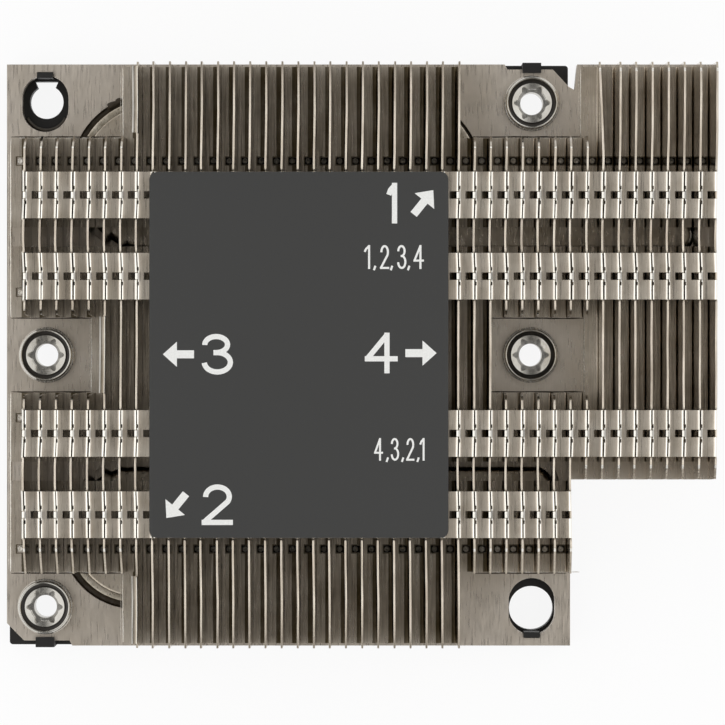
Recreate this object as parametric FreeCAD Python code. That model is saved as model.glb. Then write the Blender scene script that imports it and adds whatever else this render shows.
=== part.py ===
import FreeCAD, Part
import math
import os

# Low server heatsink: a plated base plate with an overhanging extension, a stack of folded fins that
# hook into each other along their tops, two heat pipes let into the plate, four captive nuts with a
# star socket, and the black processor carrier that is clipped under the plate.
# Millimetres. Origin: centre of the processor's contact face. +X: towards the extension.
# +Y: towards the edge with the notch. +Z: up, away from the processor.

# Base plate, seen from above
base_width = 88.0
base_depth = 90.8
base_thickness = 4.0
contact_pad_inset_x = 19.0
contact_pad_inset_y = 15.4
contact_pad_height = 1.0
contact_pad_radius = 1.0
extension_margin = 0.25
extension_setback = 25.95
edge_recess = 0.8
edge_recess_reach = 3.8
corner_cut = 2.7
notch_width = 1.3
notch_depth = 4.0

# Fins
left_nut_column_count = 5
left_corner_column_count = 2
long_column_count = 21
right_corner_column_count = 2
right_nut_column_count = 6
extension_column_count = 8
first_fin_inset = 3.8
first_foot_reach = 3.25
extension_first_step = 2.075
sheet = 0.3
fin_height = 20.5
fin_gap = 0.05
fin_end_inset = 0.4
fin_end_lean = 0.2
fin_corner_cut = 1.5
extension_end_lean = 0.45
extension_corner_cut = 2.2
bay_end_lean = 0.75
bay_corner_cut = 0.4
inner_flange_inset = 6.1
outer_flange_inset = 9.45
top_flange_length = 7.1
tongue_width = 0.95
tongue_clearance = 0.1
tongue_lap = 0.25
window_length = 1.05
foot_gap = 3.0
front_foot_gap_shift = 1.75

# Open bays round the nuts and the guide-pin holes
corner_bay_depth = 11.55
nut_bay_half = 5.9

# Heat pipes, flattened, let into the top of the plate
pipe_width = 5.8
pipe_thickness = 3.2
groove_side_room = 1.4
groove_depth_room = 0.1
groove_end_wall = 1.8
bend_inset_y = 17.4
rear_bend_radius = 9.3
rear_bend_left_inset = 22.8
rear_bend_right_inset = 26.6
rear_pipe_inner_gap = 0.6
rear_tip_angle = 75.0
front_bend_radius = 8.1
front_bend_left_inset = 20.05
front_pipe_inner_gap = 0.3
front_leg_end_inset = 26.0

# Captive nuts, their bushes and their clips
corner_nut_inset_x = 6.0
corner_nut_inset_y = 6.1
middle_nut_inset = 6.2
bush_hole_radius = 4.3
bush_wall = 0.7
bush_flange_radius = 4.8
bush_flange_height = 0.5
press_clearance = 0.02
nut_rim_radius = 4.1
nut_rim_width = 0.42
nut_head_height = 2.05
nut_neck_clearance = 0.3
nut_lift = 0.05
nut_dish_depth = 0.6
nut_dish_margin = 0.3
socket_tip_radius = 2.8
socket_valley_radius = 2.03
socket_depth = 2.8
thread_radius = 1.75
nut_below_plate = 1.9
clip_thickness = 0.4
clip_outer_radius = 4.3
clip_groove_depth = 0.45
clip_groove_play = 0.05
clip_play = 0.25
clip_opening_angle = 70.0

# Guide-pin holes
guide_hole_width = 7.25
guide_hole_length = 8.9

# Processor carrier
carrier_inset = 0.2
carrier_thickness = 3.4
carrier_corner_radius = 0.5
pad_clearance_x = 4.0
pad_clearance_y = 3.0
carrier_nut_clearance = 0.7
carrier_slot_clearance = 1.2
carrier_slot_radius = 2.0
guide_pin_shift = 0.4
small_guide_radius = 2.63
large_guide_radius = 3.45
keyhole_neck = 2.7
keyhole_flare = 3.7
keyhole_reach = 3.25
hook_width = 2.9
guide_hook_width = 2.5
guide_hook_nose = 0.4
hook_arm = 0.45
hook_nose = 0.55
hook_height = 1.2
hook_outer_step = 0.2
hook_recess_depth = 0.3
hook_clearance = 0.05

# Label plate on top of the fins
label_width = 45.6
label_depth = 55.7
label_thickness = 0.25
label_corner_radius = 1.2
label_center_x = 1.86

# Heights and places that follow
plate_bottom = contact_pad_height
plate_top = plate_bottom + base_thickness
fin_top = plate_top + fin_height
half_width = base_width / 2
half_depth = base_depth / 2
contact_pad_half_x = half_width - contact_pad_inset_x
contact_pad_half_y = half_depth - contact_pad_inset_y
extension_front_y = -half_depth + extension_setback

# Columns of fins, counted from the left, and the last one of each kind
last_left_nut_column = left_nut_column_count
last_left_bank_column = last_left_nut_column + left_corner_column_count
last_long_column = last_left_bank_column + long_column_count
last_right_bank_column = last_long_column + right_corner_column_count
last_right_nut_column = last_right_bank_column + right_nut_column_count
fin_count = last_right_nut_column + extension_column_count
first_fin_x = -half_width + first_fin_inset
fin_pitch = (half_width + extension_first_step - first_fin_x) / (last_right_nut_column - 1)
foot_reach = fin_pitch - fin_gap
last_fin_x = first_fin_x + (fin_count - 1) * fin_pitch
extension_right = last_fin_x + sheet / 2 + extension_margin
fin_rear_y = half_depth - fin_end_inset
bank_end_y = half_depth - corner_bay_depth
outer_flange_y = bank_end_y - outer_flange_inset
inner_flange_y = nut_bay_half + inner_flange_inset

groove_width = pipe_width + groove_side_room
groove_depth = pipe_thickness + groove_depth_room
bend_y = half_depth - bend_inset_y
rear_foot_gap_y = bend_y - rear_bend_radius
front_foot_gap_y = -bend_y + front_bend_radius + front_foot_gap_shift
carrier_bottom = plate_bottom - carrier_thickness
corner_nut_x = half_width - corner_nut_inset_x
corner_nut_y = half_depth - corner_nut_inset_y
middle_nut_x = half_width - middle_nut_inset
nut_places = (
    ("rear_right", corner_nut_x, corner_nut_y),
    ("front_left", -corner_nut_x, -corner_nut_y),
    ("middle_left", -middle_nut_x, 0.0),
    ("middle_right", middle_nut_x, 0.0),
)
pieces = {}


def box(x0, x1, y0, y1, z0, z1):
    """Box between two corners."""
    corner = FreeCAD.Vector(min(x0, x1), min(y0, y1), min(z0, z1))
    return Part.makeBox(abs(x1 - x0), abs(y1 - y0), abs(z1 - z0), corner)


def cylinder(x, y, z0, z1, radius):
    """Upright cylinder."""
    return Part.makeCylinder(radius, z1 - z0, FreeCAD.Vector(x, y, z0))


def plate(points, z0, z1):
    """Upright prism over an outline of (x, y) points."""
    corners = [FreeCAD.Vector(x, y, z0) for x, y in points]
    outline = Part.makePolygon(corners + corners[:1])
    return Part.Face(outline).extrude(FreeCAD.Vector(0, 0, z1 - z0))


def upright_edges(solid):
    """Edges of a prism that run along Z."""
    found = []
    for edge in solid.Edges:
        start = edge.Vertexes[0].Point
        end = edge.Vertexes[-1].Point
        if abs(end.z - start.z) > 1e-6 and math.hypot(end.x - start.x, end.y - start.y) < 1e-6:
            found.append(edge)
    return found


def rounded_plate(x0, x1, y0, y1, z0, z1, radius):
    """Box with its upright edges rounded."""
    solid = box(x0, x1, y0, y1, z0, z1)
    return solid.makeFillet(radius, upright_edges(solid))


def long_hole(x, y, width, length, z0, z1):
    """Cutter with round ends, long side along Y."""
    half = (length - width) / 2
    ends = cylinder(x, y - half, z0, z1, width / 2).fuse(cylinder(x, y + half, z0, z1, width / 2))
    return ends.fuse(box(x - width / 2, x + width / 2, y - half, y + half, z0, z1)).removeSplitter()


# Fins

def column_strip(number):
    """Left and right reach of one column of fins, flanges included."""
    web_x = first_fin_x + (number - 1) * fin_pitch
    right = web_x + sheet / 2
    return right - foot_reach, right


def column_spans(number):
    """Stretches of Y that a column's fins fill, front first."""
    rear = fin_rear_y
    front = -fin_rear_y
    beside_corners = number <= last_left_bank_column or last_long_column < number <= last_right_nut_column
    if beside_corners:
        rear = bank_end_y
        front = -bank_end_y
    if number >= last_right_nut_column:
        front = extension_front_y
    beside_nut = number <= last_left_nut_column or last_right_bank_column < number <= last_right_nut_column
    if beside_nut:
        return [(front, -nut_bay_half), (nut_bay_half, rear)]
    return [(front, rear)]


def pieces_between(low, high, cuts):
    """What is left of a stretch once the cuts are taken out."""
    left = [(low, high)]
    for cut_low, cut_high in cuts:
        kept = []
        for start, end in left:
            if start < min(end, cut_low):
                kept.append((start, min(end, cut_low)))
            if max(start, cut_high) < end:
                kept.append((max(start, cut_high), end))
        left = kept
    return left


def end_shape(y):
    """How far a fin's end leans in over its height, and the size of its top corner cut."""
    if abs(y) == fin_rear_y:
        return fin_end_lean, fin_corner_cut
    if y == extension_front_y:
        return extension_end_lean, extension_corner_cut
    return bay_end_lean, bay_corner_cut


def web_profile(front, rear, x):
    """Web of a fin in side view, with its top corners cut back."""
    front_lean, front_cut = end_shape(front)
    rear_lean, rear_cut = end_shape(rear)
    outline = [
        (front, plate_top),
        (rear, plate_top),
        (rear - rear_lean, fin_top - rear_cut),
        (rear - rear_lean - rear_cut, fin_top),
        (front + front_lean + front_cut, fin_top),
        (front + front_lean, fin_top - front_cut),
    ]
    corners = [FreeCAD.Vector(x, y, z) for y, z in outline]
    face = Part.Face(Part.makePolygon(corners + corners[:1]))
    return face.extrude(FreeCAD.Vector(sheet, 0, 0))


def folded_fin(number, front, rear):
    """One fin: web, foot flange in segments, and top flanges that hook into the next fin."""
    left, right = column_strip(number)
    web_left = right - sheet
    fin = web_profile(front, rear, web_left)
    foot_left = left if number > 1 else right - first_foot_reach
    foot_cuts = [(y - foot_gap / 2, y + foot_gap / 2) for y in (front_foot_gap_y, rear_foot_gap_y)]
    flanges = []
    for low, high in pieces_between(front, rear, foot_cuts):
        flanges.append(box(foot_left, web_left, low, high, plate_top, plate_top + sheet))
    half_tongue = tongue_width / 2
    half_window = half_tongue + tongue_clearance
    tongue_end = left - fin_gap - sheet - tongue_lap
    flange_bottom = fin_top - sheet
    windows = []
    for middle in (-outer_flange_y, -inner_flange_y, inner_flange_y, outer_flange_y):
        low = middle - top_flange_length / 2
        high = middle + top_flange_length / 2
        if low < front or high > rear:
            continue
        if number > 1:
            flanges.append(box(left, web_left, low, high, flange_bottom, fin_top))
            flanges.append(box(tongue_end, left, middle - half_tongue, middle + half_tongue,
                               flange_bottom, fin_top))
        windows.append(box(web_left - window_length, right + sheet, middle - half_window,
                           middle + half_window, flange_bottom, fin_top + sheet))
    return fin.multiFuse(flanges).cut(windows).removeSplitter()


def make_fins():
    """Whole fins get a node each, the short outer ones stay together bank by bank."""
    banks = {}
    for number in range(1, fin_count + 1):
        spans = column_spans(number)
        side = "left" if number <= last_left_nut_column else "right"
        if len(spans) == 1:
            pieces["fin_%02d" % number] = folded_fin(number, *spans[0])
            continue
        for place, span in zip(("front", "rear"), spans):
            banks.setdefault("short_fins_%s_%s" % (side, place), []).append(folded_fin(number, *span))
    for name, fins in banks.items():
        pieces[name] = Part.makeCompound(fins)


# Heat pipes and their grooves

def square_section(width, depth):
    """Corners of a groove's section, from its middle, seen along the groove."""
    half = width / 2
    return [(-half, 0), (half, 0), (half, depth), (-half, depth)]


def pressed_section(width, depth):
    """Pressed tube in section: flat above and below, with slanting sides."""
    side = depth / 2
    flat = width / 2 - side / 2
    return [(-flat, 0), (flat, 0), (width / 2, side), (flat, depth), (-flat, depth), (-width / 2, side)]


def section_face(section, x, y, z, across):
    """Face of a section, stood up at a point, with its width along the given direction."""
    corners = [FreeCAD.Vector(x + across[0] * u, y + across[1] * u, z + v) for u, v in section]
    return Part.Face(Part.makePolygon(corners + corners[:1]))


def straight_run(section, x0, x1, y, z):
    """Straight stretch along X."""
    return section_face(section, x0, y, z, (0, 1)).extrude(FreeCAD.Vector(x1 - x0, 0, 0))


def bend(section, x, y, z, radius, start, sweep):
    """Bend round an upright axis, from a start angle over a sweep, in degrees."""
    face = section_face(section, x + radius, y, z, (1, 0))
    solid = face.revolve(FreeCAD.Vector(x, y, z), FreeCAD.Vector(0, 0, 1), sweep)
    solid.rotate(FreeCAD.Vector(x, y, z), FreeCAD.Vector(0, 0, 1), start)
    return solid


def round_end(section, x, y, z):
    """Blunt end of a run: half of the section turned once round."""
    top = max(v for u, v in section)
    half = [(0, 0)] + [(u, v) for u, v in section if u > 0] + [(0, top)]
    face = section_face(half, x, y, z, (1, 0))
    return face.revolve(FreeCAD.Vector(x, y, z), FreeCAD.Vector(0, 0, 1), 360)


def join(first, *others):
    """One solid out of several that meet."""
    for other in others:
        first = first.fuse(other)
    return first.removeSplitter()


def rear_run(section, radius, z):
    """Hook-shaped run at the rear: long leg, turn, short leg, and a turned-in tip."""
    left_x = -half_width + rear_bend_left_inset
    right_x = half_width - rear_bend_right_inset
    near = bend_y - radius
    far = bend_y + radius
    right_end = extension_right - groove_end_wall - groove_width / 2
    tip_angle = math.radians(90 - rear_tip_angle)
    tip_x = right_x + radius * math.cos(tip_angle)
    tip_y = bend_y + radius * math.sin(tip_angle)
    return join(
        straight_run(section, left_x, right_end, near, z),
        bend(section, left_x, bend_y, z, radius, 90, 180),
        straight_run(section, left_x, right_x, far, z),
        bend(section, right_x, bend_y, z, radius, 90 - rear_tip_angle, rear_tip_angle),
        round_end(section, tip_x, tip_y, z),
        round_end(section, right_end, near, z),
    )


def front_run(section, radius, z):
    """U-shaped run at the front, inside the square part of the plate."""
    left_x = -half_width + front_bend_left_inset
    near = -bend_y + radius
    far = -bend_y - radius
    right_end = half_width - groove_end_wall - groove_width / 2
    leg_end = half_width - front_leg_end_inset
    return join(
        straight_run(section, left_x, right_end, near, z),
        bend(section, left_x, -bend_y, z, radius, 90, 180),
        straight_run(section, left_x, leg_end, far, z),
        round_end(section, right_end, near, z),
        round_end(section, leg_end, far, z),
    )


def make_pipes():
    section = pressed_section(pipe_width, pipe_thickness)
    z = plate_top - groove_depth_room / 2 - pipe_thickness
    inner_to_middle = pipe_width / 2 - groove_width / 2
    rear_radius = rear_bend_radius + inner_to_middle + rear_pipe_inner_gap
    front_radius = front_bend_radius + inner_to_middle + front_pipe_inner_gap
    pieces["rear_heat_pipe"] = rear_run(section, rear_radius, z)
    pieces["front_heat_pipe"] = front_run(section, front_radius, z)


# Base plate

def plate_outline():
    """Outline of the plate from above, anticlockwise from the front left."""
    recess_in = corner_nut_x - edge_recess_reach
    cut_start = half_width - corner_cut
    recess_edge = half_depth - edge_recess
    notch_left = half_width - 0.2
    notch_right = notch_left + notch_width
    return [
        (-half_width, -recess_edge + corner_cut),
        (-cut_start, -recess_edge),
        (-recess_in, -recess_edge),
        (-recess_in + edge_recess / 2, -half_depth),
        (half_width, -half_depth),
        (half_width, extension_front_y),
        (extension_right, extension_front_y),
        (extension_right, half_depth),
        (notch_right, half_depth),
        (notch_right - 0.4, half_depth - notch_depth),
        (notch_left, recess_edge - corner_cut),
        (cut_start, recess_edge),
        (recess_in, recess_edge),
        (recess_in - edge_recess / 2, half_depth),
        (-half_width, half_depth),
    ]


def hook_recess(side):
    """Shallow pocket in the plate's top, where a guide hole's hook lies."""
    hole_end = side * (corner_nut_y + guide_hole_length / 2)
    reach = side * (guide_hook_nose + hook_clearance)
    x = -side * corner_nut_x
    half = guide_hook_width / 2 + hook_clearance
    return box(x - half, x + half, hole_end - side * guide_hook_nose, hole_end + reach,
               plate_top - hook_recess_depth, plate_top + 1)


def make_base_plate():
    base = plate(plate_outline(), plate_bottom, plate_top)
    pad = rounded_plate(-contact_pad_half_x, contact_pad_half_x, -contact_pad_half_y,
                        contact_pad_half_y, 0, plate_bottom, contact_pad_radius)
    base = base.fuse(pad).removeSplitter()
    section = square_section(groove_width, groove_depth + 1)
    groove_bottom = plate_top - groove_depth
    base = base.cut(rear_run(section, rear_bend_radius, groove_bottom))
    base = base.cut(front_run(section, front_bend_radius, groove_bottom))
    for name, x, y in nut_places:
        base = base.cut(cylinder(x, y, plate_bottom - 1, plate_top + 1, bush_hole_radius))
    for side in (-1, 1):
        base = base.cut(long_hole(-side * corner_nut_x, side * corner_nut_y, guide_hole_width,
                                  guide_hole_length, plate_bottom - 1, plate_top + 1))
        base = base.cut(hook_recess(side))
    pieces["base_plate"] = base


# Nuts, bushes and clips

def turned(points, x, y):
    """Solid of revolution from (radius, z) points, about the upright axis through x, y."""
    corners = [FreeCAD.Vector(x + radius, y, z) for radius, z in points]
    face = Part.Face(Part.makePolygon(corners + corners[:1]))
    return face.revolve(FreeCAD.Vector(x, y, 0), FreeCAD.Vector(0, 0, 1), 360)


def star_socket(x, y, z0, z1):
    """Six-lobed star: round lobes with scooped valleys between them."""
    steps = 36
    middle = (socket_tip_radius + socket_valley_radius) / 2
    swing = (socket_tip_radius - socket_valley_radius) / 2
    points = []
    for step in range(steps):
        angle = 2 * math.pi * step / steps
        radius = middle + swing * math.cos(6 * angle)
        points.append((x + radius * math.cos(angle), y + radius * math.sin(angle)))
    return plate(points, z0, z1)


def make_fastener(name, x, y):
    """Captive nut, the bush that it turns in and the clip that keeps it there."""
    bore = bush_hole_radius - bush_wall
    neck = bore - nut_neck_clearance
    bush_top = plate_top + bush_flange_height
    bush = turned([
        (bore, plate_bottom),
        (bush_hole_radius - press_clearance, plate_bottom),
        (bush_hole_radius - press_clearance, plate_top),
        (bush_flange_radius, plate_top),
        (bush_flange_radius - bush_flange_height / 2, bush_top),
        (bore, bush_top),
    ], x, y)
    pieces["bush_" + name] = bush

    head_bottom = bush_top + nut_lift
    head_top = head_bottom + nut_head_height
    nut_bottom = plate_bottom - nut_below_plate
    clip_top = plate_bottom - clip_play
    clip_bottom = clip_top - clip_thickness
    groove = neck - clip_groove_depth
    dish_radius = socket_tip_radius + nut_dish_margin
    rim_round = nut_rim_width / 2
    nut = turned([
        (thread_radius, nut_bottom),
        (neck, nut_bottom),
        (neck, clip_bottom - clip_groove_play),
        (groove, clip_bottom - clip_groove_play),
        (groove, clip_top + clip_groove_play),
        (neck, clip_top + clip_groove_play),
        (neck, head_bottom),
        (nut_rim_radius, head_bottom),
        (nut_rim_radius, head_top - rim_round),
        (nut_rim_radius - rim_round, head_top),
        (dish_radius, head_top - nut_dish_depth),
        (thread_radius, head_top - nut_dish_depth),
    ], x, y)
    socket_top = head_top - nut_dish_depth
    nut = nut.cut(star_socket(x, y, socket_top - socket_depth, socket_top + 1))
    pieces["nut_" + name] = nut

    clip = cylinder(x, y, clip_bottom, clip_top, clip_outer_radius)
    clip = clip.cut(cylinder(x, y, clip_bottom - 1, clip_top + 1, groove + press_clearance))
    half = math.radians(clip_opening_angle / 2)
    reach = clip_outer_radius * 1.5
    mouth = plate([(x, y), (x + reach * math.cos(half), y - reach * math.sin(half)),
                   (x + reach * math.cos(half), y + reach * math.sin(half))],
                  clip_bottom - 1, clip_top + 1)
    pieces["clip_" + name] = clip.cut(mouth)


# Processor carrier

def edge_hook(side):
    """Hook over the plate's recessed edge beside a corner nut."""
    x = side * corner_nut_x
    outer = side * (half_depth + hook_outer_step)
    edge = side * (half_depth - edge_recess + hook_clearance)
    nose = side * (half_depth - edge_recess - hook_nose)
    half = hook_width / 2
    arm = box(x - half, x + half, edge, outer, carrier_bottom, plate_top + hook_height)
    tip = box(x - half, x + half, nose, outer, plate_top + hook_clearance, plate_top + hook_height)
    return arm.fuse(tip)


def guide_hook(side):
    """Hook that rises through a guide hole and lies in the pocket at its outer end."""
    x = -side * corner_nut_x
    hole_end = side * (corner_nut_y + guide_hole_length / 2 - hook_clearance)
    inner = hole_end - side * hook_arm
    nose = hole_end + side * guide_hook_nose
    half = guide_hook_width / 2
    recess_floor = plate_top - hook_recess_depth + hook_clearance
    arm = box(x - half, x + half, inner, hole_end, carrier_bottom, plate_top + hook_height)
    tip = box(x - half, x + half, inner, nose, recess_floor, plate_top + hook_height)
    return arm.fuse(tip)


def make_carrier():
    """Moulded frame under the plate, in a front and a rear bar and two side bars."""
    top = plate_bottom
    outline_x = half_width - carrier_inset
    carrier = rounded_plate(-outline_x, outline_x, -half_depth, half_depth, carrier_bottom, top,
                            carrier_corner_radius)
    low = carrier_bottom - 1
    high = top + 1
    window_x = contact_pad_half_x + pad_clearance_x
    window_y = contact_pad_half_y + pad_clearance_y
    carrier = carrier.cut(box(-window_x, window_x, -window_y, window_y, low, high))
    slot = clip_outer_radius + carrier_slot_clearance
    for name, x, y in nut_places:
        if y:
            hole = cylinder(x, y, low, high, clip_outer_radius + carrier_nut_clearance)
        elif x < 0:
            hole = rounded_plate(-half_width - slot, x + slot, -slot, slot, low, high,
                                 carrier_slot_radius)
        else:
            hole = rounded_plate(x - slot, half_width + slot, -slot, slot, low, high,
                                 carrier_slot_radius)
        carrier = carrier.cut(hole)
    guide_y = corner_nut_y + guide_pin_shift
    carrier = carrier.cut(cylinder(-corner_nut_x, guide_y, low, high, small_guide_radius))
    mouth_y = guide_y + small_guide_radius * 0.8
    reach_y = guide_y + keyhole_reach
    carrier = carrier.cut(plate([
        (-corner_nut_x - keyhole_neck / 2, mouth_y),
        (-corner_nut_x + keyhole_neck / 2, mouth_y),
        (-corner_nut_x + keyhole_flare / 2, reach_y),
        (-corner_nut_x - keyhole_flare / 2, reach_y),
    ], low, high))
    carrier = carrier.cut(cylinder(corner_nut_x, -guide_y, low, high, large_guide_radius))
    for side in (-1, 1):
        carrier = carrier.fuse(edge_hook(side))
        carrier = carrier.fuse(guide_hook(side))
    carrier = carrier.removeSplitter()
    reach = base_depth
    middle = box(-reach, reach, -window_y, window_y, low, high + fin_height)
    ends = carrier.cut(middle)
    sides = carrier.common(middle)
    rear_half = box(-reach, reach, 0, reach, low, high + fin_height)
    left_half = box(-reach, 0, -reach, reach, low, high + fin_height)
    pieces["carrier_front_bar"] = ends.cut(rear_half)
    pieces["carrier_rear_bar"] = ends.common(rear_half)
    pieces["carrier_left_bar"] = sides.common(left_half)
    pieces["carrier_right_bar"] = sides.cut(left_half)


def make_label():
    x0 = label_center_x - label_width / 2
    x1 = label_center_x + label_width / 2
    pieces["label_plate"] = rounded_plate(x0, x1, -label_depth / 2, label_depth / 2, fin_top,
                                          fin_top + label_thickness, label_corner_radius)


def main():
    make_base_plate()
    make_pipes()
    make_fins()
    for name, x, y in nut_places:
        make_fastener(name, x, y)
    make_carrier()
    make_label()
    os.makedirs("parts", exist_ok=True)
    for name, shape in pieces.items():
        shape.exportStep("parts/%s.step" % name)
        print(name, len(shape.Solids), round(shape.Volume, 1), shape.isValid())


main()
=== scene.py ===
# %% [markdown]
# # A low server heatsink, dressed for the camera
# The solids of the heatsink are already exact. This lesson loads them, keeps the ones that need no
# more than a finish, and models the pieces whose charm is in the detail: the folded fins that zip
# into each other, the nuts with their star sockets, and the printed label plate.

import math
import random

import bmesh
import bpy
from mathutils import Matrix, Vector


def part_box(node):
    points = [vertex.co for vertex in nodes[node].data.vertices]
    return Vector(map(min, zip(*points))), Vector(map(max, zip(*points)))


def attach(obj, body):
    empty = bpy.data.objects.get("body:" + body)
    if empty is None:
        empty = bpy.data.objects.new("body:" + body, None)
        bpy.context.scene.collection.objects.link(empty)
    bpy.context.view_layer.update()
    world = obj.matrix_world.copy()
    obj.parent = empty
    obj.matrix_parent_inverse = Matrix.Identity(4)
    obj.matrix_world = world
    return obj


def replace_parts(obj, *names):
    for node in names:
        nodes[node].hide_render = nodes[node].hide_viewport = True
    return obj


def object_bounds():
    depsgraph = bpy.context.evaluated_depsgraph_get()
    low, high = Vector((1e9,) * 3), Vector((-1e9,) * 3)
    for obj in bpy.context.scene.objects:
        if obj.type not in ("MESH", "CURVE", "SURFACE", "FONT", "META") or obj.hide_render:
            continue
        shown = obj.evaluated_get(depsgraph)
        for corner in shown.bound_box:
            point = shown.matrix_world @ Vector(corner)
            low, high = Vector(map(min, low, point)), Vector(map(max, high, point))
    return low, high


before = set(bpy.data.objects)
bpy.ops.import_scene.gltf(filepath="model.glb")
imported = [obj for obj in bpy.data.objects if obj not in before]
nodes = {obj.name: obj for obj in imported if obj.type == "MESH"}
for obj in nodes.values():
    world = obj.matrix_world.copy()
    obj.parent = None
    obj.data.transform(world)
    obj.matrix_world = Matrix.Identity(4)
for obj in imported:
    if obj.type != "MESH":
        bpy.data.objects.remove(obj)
cad_low, cad_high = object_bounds()
print("nodes", len(nodes), "box", cad_low, cad_high)

# %% [markdown]
# ## Working in millimetres
# Blender's scene is in metres, and a sheet of 0.3 mm reads badly as 0.0003. Every piece here is
# modelled in millimetres and made small once, when it becomes an object.

# %% Millimetres and finished pieces
MM = 0.001
heatsink_body = "heatsink"


def low_high(node):
    """Corners of a node in millimetres."""
    low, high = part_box(node)
    return Vector(low) / MM, Vector(high) / MM


def mark_sharp(bm, angle):
    """Smooth faces that break only where the surface turns by more than the angle."""
    tumbled = bm.faces.layers.float.get("tumbled")
    for face in bm.faces:
        face.smooth = True
    for edge in bm.edges:
        rounded = tumbled and any(face[tumbled] > 0.5 for face in edge.link_faces)
        edge.smooth = len(edge.link_faces) == 2 and (rounded or edge.calc_face_angle(0.0) < angle)


def face_outwards(bm):
    """Turns all faces the same way out."""
    bmesh.ops.recalc_face_normals(bm, faces=bm.faces)


def add_object(name, data):
    """Object in the scene that shows a mesh, a lamp or a camera."""
    made = bpy.data.objects.new(name, data)
    bpy.context.scene.collection.objects.link(made)
    return made


def finish_piece(name, bm, material, body=heatsink_body, sharp=math.radians(35)):
    """Turns a bmesh in millimetres into an object that rides on its body."""
    mark_sharp(bm, sharp)
    bmesh.ops.transform(bm, matrix=Matrix.Scale(MM, 4), verts=bm.verts)
    mesh = bpy.data.meshes.new(name)
    bm.to_mesh(mesh)
    bm.free()
    piece = add_object(name, mesh)
    mesh.materials.append(material)
    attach(piece, body)
    return piece


def flat_rectangle(low_x, low_y, high_x, high_y, z=0.0):
    """One level face between two corners."""
    bm = bmesh.new()
    bmesh.ops.create_grid(bm, x_segments=1, y_segments=1, size=0.5)
    stretch = Matrix.Diagonal((high_x - low_x, high_y - low_y, 1, 1))
    bmesh.ops.transform(bm, matrix=stretch, verts=bm.verts)
    bmesh.ops.translate(bm, vec=((low_x + high_x) / 2, (low_y + high_y) / 2, z), verts=bm.verts)
    return bm


def thicken(bm, height):
    """Raises a copy of flat faces, joins it at the sides, and returns its points."""
    raised = bmesh.ops.extrude_face_region(bm, geom=bm.faces[:])
    top = [item for item in raised["geom"] if isinstance(item, bmesh.types.BMVert)]
    bmesh.ops.translate(bm, vec=(0, 0, height), verts=top)
    return top


def srgb(red, green, blue):
    """Linear colour of a value read off a screen, from 0 to 255."""
    def linear(value):
        value = value / 255
        return value / 12.92 if value <= 0.04045 else ((value + 0.055) / 1.055) ** 2.4

    return linear(red), linear(green), linear(blue), 1.0


print("plate top", low_high("base_plate")[1].z)

# %% [markdown]
# ## What metal shares
# The metals here have been handled and soldered. They have a fine grain, soft cloudy stains, and
# hair-thin scratches. One group makes these three masks from the object's own coordinates, so that
# each material decides for itself how much colour, roughness or height they give.

# %% Group: clouds, grain and hairlines
def make_plating_group():
    """Node group that gives the three masks."""
    tree = bpy.data.node_groups.new("Handled plating", "ShaderNodeTree")
    new_socket = tree.interface.new_socket
    new_socket(name="Vector", in_out="INPUT", socket_type="NodeSocketVector")
    for name, value in (("Cloud Size", 90.0), ("Grain Size", 2500.0), ("Hairline Stretch", 12.0)):
        new_socket(name=name, in_out="INPUT", socket_type="NodeSocketFloat").default_value = value
    for name in ("Clouds", "Grain", "Hairlines"):
        new_socket(name=name, in_out="OUTPUT", socket_type="NodeSocketFloat")
    make = tree.nodes.new
    link = tree.links.new
    given = make("NodeGroupInput")
    out = make("NodeGroupOutput")

    def add_noise(vector, detail, mask):
        noise = make("ShaderNodeTexNoise")
        noise.inputs["Detail"].default_value = detail
        link(vector, noise.inputs["Vector"])
        link(noise.outputs["Fac"], out.inputs[mask])
        return noise

    clouds = add_noise(given.outputs["Vector"], 5.0, "Clouds")
    clouds.inputs["Roughness"].default_value = 0.62
    link(given.outputs["Cloud Size"], clouds.inputs["Scale"])
    grain = add_noise(given.outputs["Vector"], 2.0, "Grain")
    link(given.outputs["Grain Size"], grain.inputs["Scale"])
    stretch = make("ShaderNodeCombineXYZ")
    stretch.inputs["X"].default_value = 1.0
    stretch.inputs["Z"].default_value = 1.0
    link(given.outputs["Hairline Stretch"], stretch.inputs["Y"])
    along = make("ShaderNodeVectorMath")
    along.operation = "DIVIDE"
    link(given.outputs["Vector"], along.inputs[0])
    link(stretch.outputs["Vector"], along.inputs[1])
    hair = add_noise(along.outputs["Vector"], 1.0, "Hairlines")
    hair.inputs["Scale"].default_value = 4200.0
    return tree


plating_group = make_plating_group()
print("group", plating_group.name, len(plating_group.nodes), "nodes")


# %% Material helpers
# Baked flux tone, also used as painted shade in the fins' fold corners and on their lower webs.
flux_and_shade_tone = srgb(84, 72, 48)
# Painted highlight tone for the fins' bends and free edges.
painted_highlight_tone = srgb(244, 240, 231)
web_shine = 0.35
grain_height = 0.00003


def new_material(name):
    """Empty material with its Principled shader, object coordinates and output."""
    material = bpy.data.materials.new(name)
    material.use_nodes = True
    shader = material.node_tree.nodes["Principled BSDF"]
    where = material.node_tree.nodes.new("ShaderNodeTexCoord")
    return material, material.node_tree, shader, where.outputs["Object"]


def add_range(tree, source, low, high, from_low=0.3, from_high=0.7):
    """Maps a mask to a plain range of values."""
    node = tree.nodes.new("ShaderNodeMapRange")
    limits = {"From Min": from_low, "From Max": from_high, "To Min": low, "To Max": high}
    for name, value in limits.items():
        node.inputs[name].default_value = value
    tree.links.new(source, node.inputs["Value"])
    return node.outputs["Result"]


def add_math(tree, operation, first, second=None):
    """Sum on one or two values; the second can be a plain number."""
    node = tree.nodes.new("ShaderNodeMath")
    node.operation = operation
    tree.links.new(first, node.inputs[0])
    if isinstance(second, float):
        node.inputs[1].default_value = second
    elif second:
        tree.links.new(second, node.inputs[1])
    return node.outputs[0]


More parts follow.
